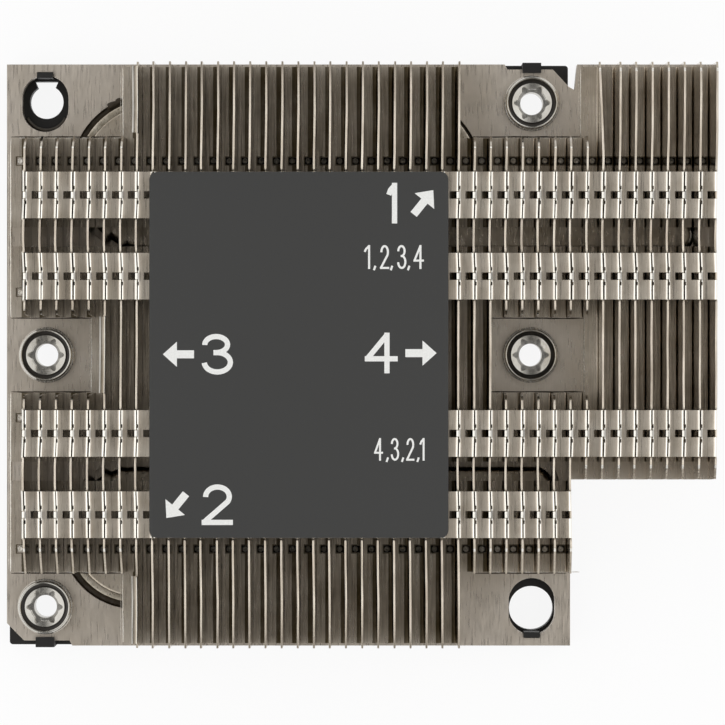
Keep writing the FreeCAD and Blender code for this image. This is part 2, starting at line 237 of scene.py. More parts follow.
def add_mix(tree, mask, first, second):
    """Colour that goes from the first to the second as the mask goes from 0 to 1."""
    node = tree.nodes.new("ShaderNodeMix")
    node.data_type = "RGBA"
    for socket, value in ((node.inputs[6], first), (node.inputs[7], second)):
        if isinstance(value, tuple):
            socket.default_value = value
        else:
            tree.links.new(value, socket)
    tree.links.new(mask, node.inputs[0])
    return node.outputs[2]


def add_bump(tree, height, strength, distance):
    """Normal that leans with a height."""
    node = tree.nodes.new("ShaderNodeBump")
    node.inputs["Strength"].default_value = strength
    node.inputs["Distance"].default_value = distance
    tree.links.new(height, node.inputs["Height"])
    return node.outputs["Normal"]


def add_attribute(tree, name):
    """Value painted on a piece's faces."""
    node = tree.nodes.new("ShaderNodeAttribute")
    node.attribute_name = name
    return node.outputs["Fac"]


def plated(name, light, dark, rough, spread=0.10, cloud_size=90.0, stretch=12.0, bump=0.25, streaks=0.0,
           painted=False, metal=1.0):
    """Nickel in a light and a stained tone, with darker streaks along the rolling direction."""
    material, tree, shader, where = new_material(name)
    masks = tree.nodes.new("ShaderNodeGroup")
    masks.node_tree = plating_group
    masks.inputs["Cloud Size"].default_value = cloud_size
    masks.inputs["Hairline Stretch"].default_value = stretch
    tree.links.new(where, masks.inputs["Vector"])
    stained = add_range(tree, masks.outputs["Clouds"], 0.0, 1.0, 0.35, 0.68)
    tone = add_mix(tree, stained, light, dark)
    streaked = add_range(tree, masks.outputs["Hairlines"], 0.0, streaks, 0.42, 0.66)
    tone = add_mix(tree, streaked, tone, tuple(value * 0.45 for value in dark[:3]) + (1.0,))
    # Painted fins mix in baked flux and painted shade where their faces are marked, then a painted highlight.
    if painted:
        patches = add_range(tree, masks.outputs["Clouds"], 0.75, 1.0)
        flux_and_shade_cover = add_math(tree, "MULTIPLY", add_attribute(tree, "flux_and_shade"), patches)
        tone = add_mix(tree, flux_and_shade_cover, tone, flux_and_shade_tone)
        # Painted highlight on the bends and free edges of the fins.
        tone = add_mix(tree, add_attribute(tree, "painted_highlight"), tone, painted_highlight_tone)
    tree.links.new(tone, shader.inputs["Base Color"])
    roughness = add_range(tree, masks.outputs["Hairlines"], rough - spread, rough + spread)
    if painted:
        smoother = add_range(tree, add_attribute(tree, "web"), 1.0, web_shine, 0.0, 1.0)
        roughness = add_math(tree, "MULTIPLY", smoother, roughness)
    tree.links.new(roughness, shader.inputs["Roughness"])
    tree.links.new(add_bump(tree, masks.outputs["Grain"], bump, grain_height), shader.inputs["Normal"])
    shader.inputs["Metallic"].default_value = metal
    return material


print("flux tone", tuple(round(value, 3) for value in flux_and_shade_tone))

# %% [markdown]
# ## Finishes of the metal pieces
# The plate is ground and plated. The fins are plated sheet with a warm cast. Baked flux and painted
# shade darken their fold corners and lower webs, and their bends and free edges carry a painted
# highlight. The pipes are plated and pale, and the solder runs from dull to bright; the brightest
# seams are painted near white as highlights. Nuts and bushes are turned and bright.

# %% Metal finishes
plate_finish = plated("Ground nickel plate", srgb(222, 212, 199), srgb(198, 187, 172), 0.34, 0.09, 70.0, 14.0,
                      streaks=0.08)
fin_finish = plated("Nickel fin sheet", srgb(224, 214, 199), srgb(190, 178, 161), 0.32, 0.09, 150.0, 30.0,
                    streaks=0.35, painted=True)
pipe_finish = plated("Plated heat pipe", srgb(222, 212, 197), srgb(184, 172, 154), 0.34, 0.10, 160.0, 6.0)
solder_finish = plated("Dull solder", srgb(206, 197, 181), srgb(150, 139, 120), 0.36, 0.12, 700.0, 2.0, 0.6,
                       metal=0.7)
# Near white and barely metallic, so that seams and domes read as painted highlights.
solder_highlight_finish = plated("Solder seam painted bright", srgb(244, 240, 232), srgb(220, 212, 198), 0.26, 0.08, 300.0, 2.0,
                       metal=0.25)
nut_finish = plated("Bright turned nickel", srgb(206, 203, 196), srgb(184, 180, 171), 0.22, 0.05, 200.0, 3.0,
                    0.1)
bush_finish = plated("Pressed nickel bush", srgb(210, 205, 196), srgb(184, 178, 167), 0.24, 0.07, 200.0, 3.0,
                     0.1)
clip_finish = plated("Spring steel clip", srgb(128, 128, 130), srgb(92, 91, 92), 0.38, 0.08, 150.0, 6.0)
print("metal finishes", [m.name for m in (plate_finish, fin_finish, pipe_finish, nut_finish)])

# %% [markdown]
# ## Finishes of the plastics
# The carrier is moulded black nylon with an even, leathery grain. The label plate is a dark grey film
# with a soft, dry surface. Its print is thin off-white ink. Baked flux, the painted shade in the
# recesses of the nuts, in the grooves and in front of the feet, and the painted highlight on the
# carrier's collars are as dry, so they are made the same way.

# %% Plastic and print finishes
def plastic(name, base, rough, grain_scale, bump):
    """Dry plastic with a moulded grain."""
    material, tree, shader, where = new_material(name)
    grain = tree.nodes.new("ShaderNodeTexNoise")
    grain.inputs["Scale"].default_value = grain_scale
    grain.inputs["Detail"].default_value = 3.0
    tree.links.new(where, grain.inputs["Vector"])
    lighter = tuple(min(1.0, value * 1.12) for value in base[:3]) + (1.0,)
    tone = add_range(tree, grain.outputs["Fac"], 0.0, 1.0)
    tree.links.new(add_mix(tree, tone, base, lighter), shader.inputs["Base Color"])
    tree.links.new(add_range(tree, grain.outputs["Fac"], rough - 0.05, rough + 0.05),
                   shader.inputs["Roughness"])
    tree.links.new(add_bump(tree, grain.outputs["Fac"], bump, 0.00002), shader.inputs["Normal"])
    shader.inputs["Specular IOR Level"].default_value = 0.35
    return material


carrier_finish = plastic("Black moulded carrier", srgb(26, 25, 24), 0.55, 3000.0, 0.4)
label_finish = plastic("Dark label film", srgb(54, 54, 53), 0.62, 5200.0, 0.2)
flux_and_shade_finish = plastic("Baked flux", srgb(60, 51, 38), 0.5, 2600.0, 0.5)
# Lighter tone of the collars: a painted highlight on one side of the carrier's guide rings.
collar_highlight_finish = plastic("Carrier collar painted lit", srgb(74, 70, 64), 0.5, 2600.0, 0.3)
# Dark insert in the groove between a nut and its bush: painted shade.
recess_shade_finish = plastic("Painted recess shade", srgb(54, 51, 47), 0.4, 2600.0, 0.2)
ink_finish = plastic("Off-white ink", srgb(226, 226, 223), 0.6, 4000.0, 0.1)
print("plastics", carrier_finish.name, label_finish.name, ink_finish.name)

# %% [markdown]
# ## Plate, carrier and heat pipes
# Their solids are right, but a machined or moulded edge is never razor sharp, and light catches it.
# A copy of each solid is merged, its flat faces are joined, and a narrow bevel modifier rounds the
# edges. The pipe gets a wider bevel, because a pressed tube has round sides.

# %% Copies of solids with softened edges
def merged_copy(*names):
    """Merged copy of nodes in millimetres, without the walls where they meet."""
    bm = bmesh.new()
    for name in names:
        bm.from_mesh(nodes[name].data)
    bmesh.ops.transform(bm, matrix=Matrix.Scale(1 / MM, 4), verts=bm.verts)
    bmesh.ops.remove_doubles(bm, verts=bm.verts, dist=0.002)
    if len(names) > 1:
        for x in (-carrier_window, carrier_window):
            bmesh.ops.bisect_plane(bm, geom=bm.verts[:] + bm.edges[:] + bm.faces[:], dist=1e-4,
                                   plane_co=Vector((x, 0, 0)), plane_no=Vector((1, 0, 0)))
        inner = [face for face in bm.faces if abs(face.normal.y) > 0.99
                 and abs(abs(face.calc_center_median().y) - carrier_seam) < 0.01
                 and abs(face.calc_center_median().x) > carrier_window]
        bmesh.ops.delete(bm, geom=inner, context="FACES")
    bmesh.ops.dissolve_limit(bm, angle_limit=math.radians(1.0), verts=bm.verts, edges=bm.edges)
    return bm


def softened(bm, name, material, width, segments):
    """Object with its edges rounded."""
    piece = finish_piece(name, bm, material)
    round_off = piece.modifiers.new("Soft edges", "BEVEL")
    round_off.width = width * MM
    round_off.segments = segments
    round_off.limit_method = "ANGLE"
    round_off.angle_limit = math.radians(30)
    round_off.harden_normals = True
    return piece


bars = ("carrier_front_bar", "carrier_rear_bar", "carrier_left_bar", "carrier_right_bar")
carrier_seam = low_high("carrier_left_bar")[1].y
carrier_window = low_high("carrier_right_bar")[0].x
plate_copy = softened(merged_copy("base_plate"), "plate_ground", plate_finish, 0.12, 2)
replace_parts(plate_copy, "base_plate")
carrier_copy = softened(merged_copy(*bars), "carrier_moulded", carrier_finish, 0.15, 2)
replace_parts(carrier_copy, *bars)
rear_pipe = softened(merged_copy("rear_heat_pipe"), "pipe_rear_pressed", pipe_finish, 0.5, 3)
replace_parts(rear_pipe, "rear_heat_pipe")
front_pipe = softened(merged_copy("front_heat_pipe"), "pipe_front_pressed", pipe_finish, 0.5, 3)
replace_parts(front_pipe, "front_heat_pipe")
for node in nodes:
    if node.startswith("clip_"):
        nodes[node].data.materials.clear()
        nodes[node].data.materials.append(clip_finish)
print("softened plate, carrier and pipes")

# %% [markdown]
# ## A fin is cut flat and folded
# So that is how it is modelled. A flat blank is ruled with lines where something changes, the stamped
# windows and gaps are deleted, and the ends are trimmed with two slanting cuts. Then every point is
# moved from the flat drawing to the folded shape: along the foot, round the lower bend, up the web,
# round the upper bend and along the flange. The outer skin is folded, and the sheet's thickness goes in.

# %% Sizes of the fold
sheet = 0.3
bend_radius = 0.55
fin_low, fin_high = low_high("fin_08")
foot_z = fin_low.z
top_z = fin_high.z
pitch = low_high("fin_09")[1].x - fin_high.x
reach = pitch - 0.05
flat_length = reach - bend_radius
bend_length = math.pi / 2 * bend_radius
web_length = top_z - foot_z - 2 * bend_radius
u_lower_bend = flat_length
u_web = u_lower_bend + bend_length
u_upper_bend = u_web + web_length
u_flange = u_upper_bend + bend_length
u_edge = u_flange + flat_length
u_tongue = u_edge + 0.42
edge_curl = 0.35
curl_drop = 0.10
u_plain_top = u_upper_bend + bend_radius
band_half = 3.55
bands = (-24.4, -12.0, 12.0, 24.4)
tongue_half = 0.475
window_half = 0.575
relief_low = 0.85
relief_high = 1.40
relief_depth = 0.14
slit = 0.16
foot_gaps = ((-19.65, -16.65), (16.95, 19.95))
foot_locks = (-30.3, -9.8, 9.8, 30.3)
lock_half = 0.6
lock_start = 0.6
flux_rim = 0.12
# For each zone of columns: how far the painted shade with baked flux reaches into the fold's corner, how
# strong it is there, and how dark the lower web is painted. The right-hand columns get the least.
corner_shade_widths = ((0.75, 0.6), (0.5, 0.3), (0.12, 0.04))
corner_shade_covers = (1.0, 1.0, 0.25)
web_shades = (0.75, 0.45, 0.0)
web_shade_top = 0.6
flange_stain = 0.2
lip_stain = 0.5
first_foot = 3.25
lip_foot = 2.96
lip_width = 0.95
lip_edge = 0.2
lip_end = 44.1
bay_edge = 33.85
nut_bay_edge = 5.9
extension_front = -19.45
open_columns = (6, 8, 37)
zone_starts = (20, 31)
print("fin height", round(top_z - foot_z, 3), "pitch", round(pitch, 3))


# %% Ruling and stamping the blank
def fold_point(u, right, foot, edge):
    """Place of a point of the outer skin, from its distance along the blank, as (x, z)."""
    if u < u_lower_bend:
        return right - bend_radius - (1 - u / flat_length) * (foot - bend_radius), foot_z
    if u < u_web:
        turn = (u - u_lower_bend) / bend_radius
        return (right - bend_radius + bend_radius * math.sin(turn),
                foot_z + bend_radius - bend_radius * math.cos(turn))
    if u < u_upper_bend:
        return right, foot_z + bend_radius + u - u_web
    if u < u_flange:
        turn = (u - u_upper_bend) / bend_radius
        return (right - bend_radius + bend_radius * math.cos(turn),
                top_z - bend_radius + bend_radius * math.sin(turn))
    over = max(0.0, u - edge + edge_curl) / edge_curl
    drop = curl_drop * (over * over if over < 1 else 2 * over - 1)
    return right - bend_radius - (u - u_flange), top_z - drop


def end_cut(y):
    """How far an end leans in, and how long and deep its top corner is cut."""
    if abs(y) > 44:
        return 0.2, 1.5, 1.5
    if abs(y - extension_front) < 0.01:
        return 0.45, 2.2, 2.2
    if abs(y) < 10:
        return 0.3, 0.7, 2.0
    return (0.3, 4.0, 4.5) if y < 0 else (0.3, 2.0, 4.5)


def is_open(number, y):
    """True along the first long fins, where no other fin stands on the left and the foot is wider."""
    return (number in (8, 37) and abs(y) > bay_edge) or (number == 6 and abs(y) < nut_bay_edge)


def has_lip(number, y):
    """True where nothing hooks in and a narrow lip of the flange is left."""
    return number != 37 and is_open(number, y)


def stamped_blank(front, rear, number, zone):
    """Flat blank of one fin, ruled and stamped: x is the distance along it, y is along the fin."""
    bm = flat_rectangle(0.0, front, u_tongue, rear)
    here = [middle for middle in bands if middle - band_half > front and middle + band_half < rear]
    across = [0.3, flat_length - 0.35, u_lower_bend, u_web, u_upper_bend - 0.15, u_upper_bend, u_plain_top]
    across += [u_flange, u_edge - edge_curl, u_edge - edge_curl / 2, u_edge - relief_depth, u_edge]
    across += [u_lower_bend + bend_length * step / 5 for step in range(1, 5)]
    across += [u_upper_bend + bend_length * step / 5 for step in range(1, 5)]
    across += [u_web + web_length * step / 4 for step in range(1, 4)]
    across += [u_flange + 0.95, u_tongue - edge_curl, u_tongue - edge_curl / 2]
    corner_shade_back, corner_shade_up = corner_shade_widths[zone]
    across += [lock_start, lock_start - flux_rim, flat_length - corner_shade_back, u_web + corner_shade_up]
    across += [u_plain_top - 0.12, u_web + web_length * web_shade_top]
    along = [edge for gap in foot_gaps for edge in gap]
    along += [lock + side * (lock_half + more) for lock in foot_locks for side in (-1, 1)
              for more in (0, flux_rim)]
    along += [front + step * (rear - front) / 12 for step in range(1, 12)]
    if number in open_columns:
        across += [u_upper_bend + bend_radius * 1.3, u_flange + lip_width - bend_radius]
        across += [u_flange + lip_width - bend_radius - lip_edge]
        along += [side * (edge + more) for edge in (bay_edge, nut_bay_edge) for side in (-1, 1)
                  for more in (-0.08, 0.08)]
        along += [-lip_end, lip_end]
    for middle in here:
        for half in (tongue_half, window_half, relief_low, relief_high, band_half, band_half + slit,
                     band_half + 0.6):
            along += [middle - half, middle + half]
    lines = [(Vector((u, 0, 0)), Vector((1, 0, 0))) for u in across]
    lines += [(Vector((0, y, 0)), Vector((0, 1, 0))) for y in along if front < y < rear]
    for place, normal in lines:
        bmesh.ops.bisect_plane(bm, geom=bm.verts[:] + bm.edges[:] + bm.faces[:], dist=1e-5,
                               plane_co=place, plane_no=normal)
    for y, side in ((front, -1), (rear, 1)):
        lean, run, drop = end_cut(y)
        top = u_plain_top - drop
        limit = u_flange + lip_width if number in open_columns else u_plain_top
        rise = Vector((top - u_web, -side * lean, 0))
        outward = Vector((-rise.y, rise.x, 0)) * side
        bmesh.ops.bisect_plane(bm, geom=bm.verts[:] + bm.edges[:] + bm.faces[:], dist=1e-5,
                               plane_co=Vector((u_web, y, 0)), plane_no=outward, clear_outer=True)
        slant = Vector((run, side * drop, 0)).normalized()
        corner_place = Vector((top, y - side * lean, 0))
        near = [face for face in bm.faces if face.calc_center_median().x < limit
                and abs(face.calc_center_median().y - y) < lean + run + 1.5]
        near_parts = set(near)
        for face in near:
            near_parts.update(face.edges)
            near_parts.update(face.verts)
        bmesh.ops.bisect_plane(bm, geom=list(near_parts), dist=1e-5, plane_co=corner_place, plane_no=slant)
        beyond = [face for face in bm.faces if face.calc_center_median().x < limit
                  and abs(face.calc_center_median().y - y) < lean + run + 1.5
                  and (face.calc_center_median() - corner_place).dot(slant) > 0]
        bmesh.ops.delete(bm, geom=beyond, context="FACES")
    doomed = []
    # Faces are painted: a highlight on bends and free edges, baked flux round the foot locks, and painted
    # shade with flux in the fold's corner and on the lower web.
    painted_highlight = bm.faces.layers.float.new("painted_highlight")
    flux_and_shade = bm.faces.layers.float.new("flux_and_shade")
    web = bm.faces.layers.float.new("web")
    for face in bm.faces:
        middle = face.calc_center_median()
        if is_stamped_out(middle.x, middle.y, here, number):
            doomed.append(face)
        # Bends and free edges get a painted highlight.
        if has_lip(number, middle.y):
            free_edge = u_flange + lip_width - bend_radius
            on_lip = u_upper_bend + bend_radius * 0.9 < middle.x < free_edge - lip_edge
            face[painted_highlight] = float(middle.x > u_upper_bend and not on_lip)
            stain = lip_stain * on_lip
        else:
            face[painted_highlight] = float(u_upper_bend < middle.x < u_flange - 0.12 or middle.x > u_edge - 0.25)
            stain = flange_stain * (u_flange < middle.x < u_edge - 0.25)
        face[web] = float(u_web < middle.x < u_upper_bend)
        # Fold corner and lower web: painted shade with baked flux.
        in_corner = flat_length - corner_shade_back < middle.x < u_web + corner_shade_up
        by_lock = in_row(middle.y, number, flux_rim) and lock_start - flux_rim < middle.x < u_web
        in_shade = u_web < middle.x < u_web + web_length * web_shade_top
        face[flux_and_shade] = max(stain, corner_shade_covers[zone] * in_corner, web_shades[zone] * in_shade, float(by_lock))
    bmesh.ops.delete(bm, geom=doomed, context="FACES")
    return bm


def lock_rows(number):
    """Rows of foot locks that a column has; the inner rows are only on the first fin."""
    return foot_locks if number == 1 else (foot_locks[0], foot_locks[-1])


def in_row(y, number, more=0.0):
    """True in a row of foot locks."""
    return any(abs(y - lock) < lock_half + more for lock in lock_rows(number))


def is_stamped_out(u, y, here, number):
    """True where the blank has no metal."""
    if u < u_web:
        in_lock = in_row(y, number) and lock_start < u < flat_length
        return any(low < y < high for low, high in foot_gaps) or in_lock
    if u < u_upper_bend - 0.15:
        return False
    offset = min((abs(y - middle) for middle in here), default=99)
    if number == 1:
        return u > u_plain_top or offset < window_half
    if offset < window_half and u < u_flange + 0.95:
        return True
    if u < u_upper_bend:
        return False
    if has_lip(number, y):
        return u > u_flange + lip_width - bend_radius or (abs(y) > lip_end and u > u_upper_bend)
    if offset > band_half:
        return u > u_plain_top or offset < band_half + slit
    if u > u_edge:
        return offset > tongue_half
    if u > u_edge - relief_depth:
        return relief_low < offset < relief_high
    return False


print("blank length", round(u_tongue, 2), "mm")


# %% Folding and giving the sheet its thickness
def lean_at(number, y):
    """How far the top of a column is pushed sideways at a place along it, in millimetres."""
    share = min(1.0, (number - 1) / 30)
    stations = sorted(top_leans)
    for (y0, left0, right0), (y1, left1, right1) in zip(stations, stations[1:]):
        if y <= y1:
            part = min(1.0, max(0.0, (y - y0) / (y1 - y0)))
            part = part * part * (3 - 2 * part)
            low = left0 + (right0 - left0) * share
            high = left1 + (right1 - left1) * share
            return low + (high - low) * part
    return left1 + (right1 - left1) * share


def folded(blank, number, right, seed):
    """Folded copy of a blank, with its web at right, its top leaning and its free edges wavy."""
    bm = blank.copy()
    shake = random.Random(seed)
    phase = shake.uniform(0, 6.28)
    offset_top = shake.uniform(-0.04, 0.04)
    for vert in bm.verts:
        u, y = vert.co.x, vert.co.y
        offset = min(abs(y - middle) for middle in bands)
        lip = has_lip(number, y)
        edge = u_tongue if offset < window_half + 0.01 or lip else u_edge
        foot = first_foot if number == 1 else lip_foot if is_open(number, y) else reach
        x, z = fold_point(u, right, foot, edge)
        if u_upper_bend < u < u_plain_top + 0.001 and offset > band_half + 0.5 * slit and not lip:
            x, z = right, foot_z + bend_radius + u - u_web
        rise = (z - foot_z) / (top_z - foot_z)
        loose = 1.0 if offset > band_half + 0.3 else 0.3
        x += rise * (lean_at(number, y) + offset_top)
        x += rise * rise * loose * 0.02 * math.sin(y * 0.5 + phase)
        if number == bent_column and y > bent_from:
            x -= rise * bent_by * (y - bent_from) / (bent_to - bent_from)
        vert.co = (x, y, z)
    face_outwards(bm)
    probe = max(bm.faces, key=lambda face: face.calc_area())
    if probe.normal.x < 0:
        bmesh.ops.reverse_faces(bm, faces=bm.faces)
    painted_highlight = bm.faces.layers.float["painted_highlight"]
    flux_and_shade = bm.faces.layers.float["flux_and_shade"]
    tumbled = bm.faces.layers.float.new("tumbled")
    outer = set(bm.verts)
    bmesh.ops.solidify(bm, geom=bm.faces[:], thickness=sheet)
    for face in bm.faces:
        count = sum(1 for vert in face.verts if vert in outer)
        # Flat cut tops lose the painted highlight and are rounded only in their shading.
        if 0 < count < len(face.verts) and abs(face.normal.z) > 0.75:
            face[painted_highlight] = 0.0
            face[tumbled] = 1.0
        # Sloped cut faces at the ends get painted shade, so that their lines read dim.
        elif 0 < count < len(face.verts) and abs(face.normal.z) > 0.25:
            face[flux_and_shade] = 0.35
    face_outwards(bm)
    return bm


top_leans = ((-39.0, 0.14, -0.15), (-24.4, 0.0, -0.25), (-18.0, -0.15, -0.38), (-12.0, 0.04, -0.27),
             (12.0, 0.18, -0.24), (18.0, -0.02, -0.40), (24.4, 0.14, -0.25), (38.0, 0.25, -0.06))
bent_column = 37
bent_from = 30.0
bent_to = 45.4
bent_by = 0.75
first_right = low_high("fin_06")[1].x - 5 * pitch
blanks = {}
fin_total = 0


def make_fin(right, front, rear):
    """One folded fin, with its blank shared by the fins of the same length."""
    global fin_total
    number = round((right - first_right) / pitch) + 1
    kind = number if number in (1, *open_columns) else 0
    zone = sum(number >= start for start in zone_starts)
    key = (round(front, 2), round(rear, 2), kind, zone)
    if key not in blanks:
        blanks[key] = stamped_blank(front, rear, kind, zone)
    fin_total += 1
    return folded(blanks[key], number, right, fin_total)


def join_all(parts):
    """One bmesh out of several."""
    whole = bmesh.new()
    for part in parts:
        part_mesh = bpy.data.meshes.new("part")
        part.to_mesh(part_mesh)
        whole.from_mesh(part_mesh)
        part.free()
        bpy.data.meshes.remove(part_mesh)
    return whole


print("bent column", bent_column, "first fin at", round(first_right, 2))

# %% The single fins
for node in sorted(nodes):
    if not node.startswith("fin_"):
        continue
    low, high = low_high(node)
    bm = make_fin(high.x, low.y, high.y)
    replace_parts(finish_piece("sheet_" + node, bm, fin_finish), node)
print("single fins", fin_total)

# %% The short fins beside the nuts
for node in ("short_fins_left_front", "short_fins_left_rear", "short_fins_right_front",
             "short_fins_right_rear"):
    low, high = low_high(node)
    count = 6 if "right" in node else 5
    parts = []
    for number in range(count):
        right = high.x - (count - 1 - number) * pitch
        front, rear = low.y, high.y
        if node == "short_fins_right_front" and number == count - 1:
            front = extension_front
        parts.append(make_fin(right, front, rear))
    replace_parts(finish_piece("sheet_" + node, join_all(parts), fin_finish), node)
    print(node, count, "fins")

# %% [markdown]
# ## Solder
# The fins and the pipes are soldered to the plate in an oven. What shows of it is a dimpled dome in
# many foot locks, a thin rod along the open edges of the feet, and lumpy bands beside the bends of the
# pipes; the domes and rods are painted bright as highlights. Dark flux lies in the locks, painted shadow
# lies in front of the ends of the short fins, and painted shade fills the grooves' gaps beside the pipes.
# Each is a loop of points carried along a path and closed at both ends, and so are two collars on the
# carrier's guide rings, painted lit on one side.

# %% Carrying a loop along a path
def swept(bm, stations):
    """Skin over loops of points, closed at both ends."""
    loops = []
    for points in stations:
        verts = [bm.verts.new(point) for point in points]
        loops.append([bm.edges.new(pair) for pair in zip(verts, verts[1:] + verts[:1])])
    for one, other in zip(loops, loops[1:]):
        bmesh.ops.bridge_loops(bm, edges=one + other)
    for end in (loops[0], loops[-1]):
        bmesh.ops.edgeloop_fill(bm, edges=end)


def solder_dome(bm, x, y):
    """Round drop with a dimple, in a foot lock."""
    turns = [step * math.pi / 5 for step in range(10)]
    swept(bm, [[(x + radius * math.cos(turn), y + radius * math.sin(turn), foot_z + height) for turn in turns]
               for radius, height in ((0.48, 0.02), (0.44, 0.14), (0.32, 0.18), (0.16, 0.09))])


def uneven_rod(bm, start, stop, radius, shake):
    """Thin uneven rod between two places, thinner at both ends."""
    along = Vector(stop) - Vector(start)
    side = Vector((-along.y, along.x, 0)).normalized()
    count = max(2, round(along.length / 1.6))
    stations = []
    for step in range(count + 1):
        middle = Vector(start) + along * (step / count)
        here = radius * shake.uniform(0.75, 1.2) * (0.5 if step in (0, count) else 1.0)
        middle += side * radius * shake.uniform(-0.25, 0.25)
        stations.append([middle + side * here * math.cos(turn * math.pi / 4)
                         + Vector((0, 0, here * math.sin(turn * math.pi / 4))) for turn in range(8)])
    swept(bm, stations)


def arc_band(bm, center, inner, outer, z, height, start, stop, lumps, shake):
    """Lumpy band along a bend, between two radii and two angles in degrees."""
    half = (outer - inner) / 2
    count = max(3, round((stop - start) / 2.5))
    stations = []
    for step in range(count + 1):
        angle = math.radians(start + (stop - start) * step / count)
        outward = Vector((math.cos(angle), math.sin(angle), 0))
        swell = 0.15 if step in (0, count) else 1 + lumps * shake.uniform(-1, 1)
        points = []
        for turn in range(9):
            lean = math.pi * (1 - turn / 8)
            radius = inner + half + half * math.cos(lean)
            points.append(Vector(center) + outward * radius
                          + Vector((0, 0, z + height * swell * math.sin(lean))))
        points.append(Vector(center) + outward * outer + Vector((0, 0, z - 0.5)))
        points.append(Vector(center) + outward * inner + Vector((0, 0, z - 0.5)))
        stations.append(points)
    swept(bm, stations)


def smooth_piece(name, bm, material):
    """Finished piece of solder, flux, painted shade or a painted highlight, smooth all over."""
    face_outwards(bm)
    finish_piece(name, bm, material, sharp=math.radians(80))


print("foot locks at y", foot_locks)

# %% Domes and dark floors of the foot locks
def column_right(number):
    """Right face of a column's web."""
    return first_right + (number - 1) * pitch


floor_half = 0.57
dome_inset = 1.25
first_dome_inset = 1.85
last_front_dome = 35
domes = bmesh.new()
floors = bmesh.new()
for number in range(1, 45):
    right = column_right(number)
    lock_left = right - bend_radius - (1 - lock_start / flat_length) * (reach - bend_radius) + 0.02
    lock_right = right - bend_radius - 0.02
    dome_place = right - (first_dome_inset if number == 1 else dome_inset)
    for lock in lock_rows(number):
        if number > last_front_dome and lock < 0:
            continue
        solder_dome(domes, dome_place, lock)
        if number == 1:
            continue
        front, rear = lock - floor_half, lock + floor_half
        swept(floors, [[(lock_left, front, z), (lock_right, front, z), (lock_right, rear, z),
                        (lock_left, rear, z)] for z in (foot_z, foot_z + 0.04)])
print("dome points", len(domes.verts), "floor points", len(floors.verts))
# The domes are painted bright, as highlights.
smooth_piece("lock_domes", domes, solder_highlight_finish)
smooth_piece("lock_floors", floors, flux_and_shade_finish)

# %% Rods along the edges of the feet, and painted shadows in front of their ends
shake = random.Random(7)
rods = bmesh.new()
rod_z = foot_z + 0.12
fin_right = {number: column_right(number) for number in (1, *open_columns)}
# Rods of solder along the open edges of the feet, painted bright as highlights.
seams = [(fin_right[1] - first_foot - 0.06, 5.9, 33.8), (fin_right[1] - first_foot - 0.06, -33.8, -5.9)]
seams += [(fin_right[8] - lip_foot - 0.07, 33.95, 44.9), (fin_right[8] - lip_foot - 0.07, -44.9, -33.95)]
seams += [(fin_right[6] - lip_foot - 0.07, -5.8, 5.8), (fin_right[37] - reach - 0.07, -5.8, 5.8),
          (fin_right[37] - 0.72, 33.95, 44.7)]
seams += [(fin_right[37] - lip_foot - 0.07, 33.95, 44.7)]
for x, front, rear in seams:
    uneven_rod(rods, (x, front, rod_z), (x, rear, rod_z), 0.15, shake)
    uneven_rod(rods, (x - 0.36, front + 0.2, foot_z), (x - 0.36, rear - 0.2, foot_z), 0.04, shake)
# A bright rod along the rear gap's edge is a painted highlight too.
edge_rear = foot_gaps[1][0] - 0.05
uneven_rod(rods, (fin_right[1] - 3.0, edge_rear, foot_z + 0.02),
           (cad_high[0] / MM - 0.6, edge_rear, foot_z + 0.02), 0.11, shake)
end_shadows = bmesh.new()
foot_end = 33.9
# Bright rods across the ends of the short feet are painted highlights.
for number in list(range(1, 8)) + list(range(31, 37)):
    right = column_right(number)
    for y in (-foot_end, foot_end):
        uneven_rod(rods, (right - 2.1, y, rod_z), (right - 0.75, y, rod_z), 0.08, shake)
# Dark rods lying on the plate just in front of the feet's ends are painted shadow.
end_shadow_rows = [(-43.3, -25.9, 34.08), (-43.3, -25.9, -34.08), (28.9, 46.1, 34.08), (28.9, 43.4, -34.08)]
end_shadow_rows += [(-43.3, -30.9, 5.75), (-43.3, -30.9, -5.75), (31.0, 46.1, 5.75), (31.0, 46.1, -5.75)]
for left, right, y in end_shadow_rows:
    uneven_rod(end_shadows, (left, y, foot_z), (right, y, foot_z), 0.1, shake)
print("rod points", len(rods.verts), "end shadow points", len(end_shadows.verts))
smooth_piece("edge_rods", rods, solder_highlight_finish)
smooth_piece("foot_end_shadows", end_shadows, flux_and_shade_finish)

# %% Bands beside the bends of the pipes, painted shade in their grooves, and painted highlights on the carrier's collars
groove_shades = bmesh.new()
flush = bmesh.new()
collar_highlights = bmesh.new()
rear_left = (-21.2, 28.0, 0.0)
rear_right = (17.4, 28.0, 0.0)
front_left = (-23.95, -28.0, 0.0)
# The dark bands are painted shade in and beside the grooves' gaps, the thin grey bands on the plate are dull
# solder, and the two collar arcs are a painted highlight on one side of the carrier's guide rings.
curved_bands = (
    (groove_shades, rear_left, 11.9, 12.92, 4.1, 0.4, 98, 166, 0.6),
    (flush, rear_left, 10.95, 11.98, 4.9, 0.07, 96, 168, 0.25),
    (groove_shades, front_left, 10.5, 11.72, 4.1, 0.4, 194, 273, 0.6),
    (flush, front_left, 9.65, 10.6, 4.9, 0.07, 192, 275, 0.25),
    (groove_shades, rear_right, 12.3, 12.92, 4.1, 0.3, 14, 52, 0.5),
    (flush, rear_right, 11.0, 12.4, 4.9, 0.05, 13, 53, 0.2),
    (groove_shades, rear_left, 12.4, 13.4, 4.92, 0.12, 97, 124, 0.5),
    (collar_highlights, (-38.0, 38.6, 0.0), 3.05, 3.5, 1.6, 0.3, 205, 335, 0.0),
    (collar_highlights, (38.0, -38.4, 0.0), 3.5, 3.75, 1.6, 0.3, 35, 145, 0.0),
)
for band in curved_bands:
    arc_band(*band, shake)
smooth_piece("groove_gap_shades", groove_shades, flux_and_shade_finish)
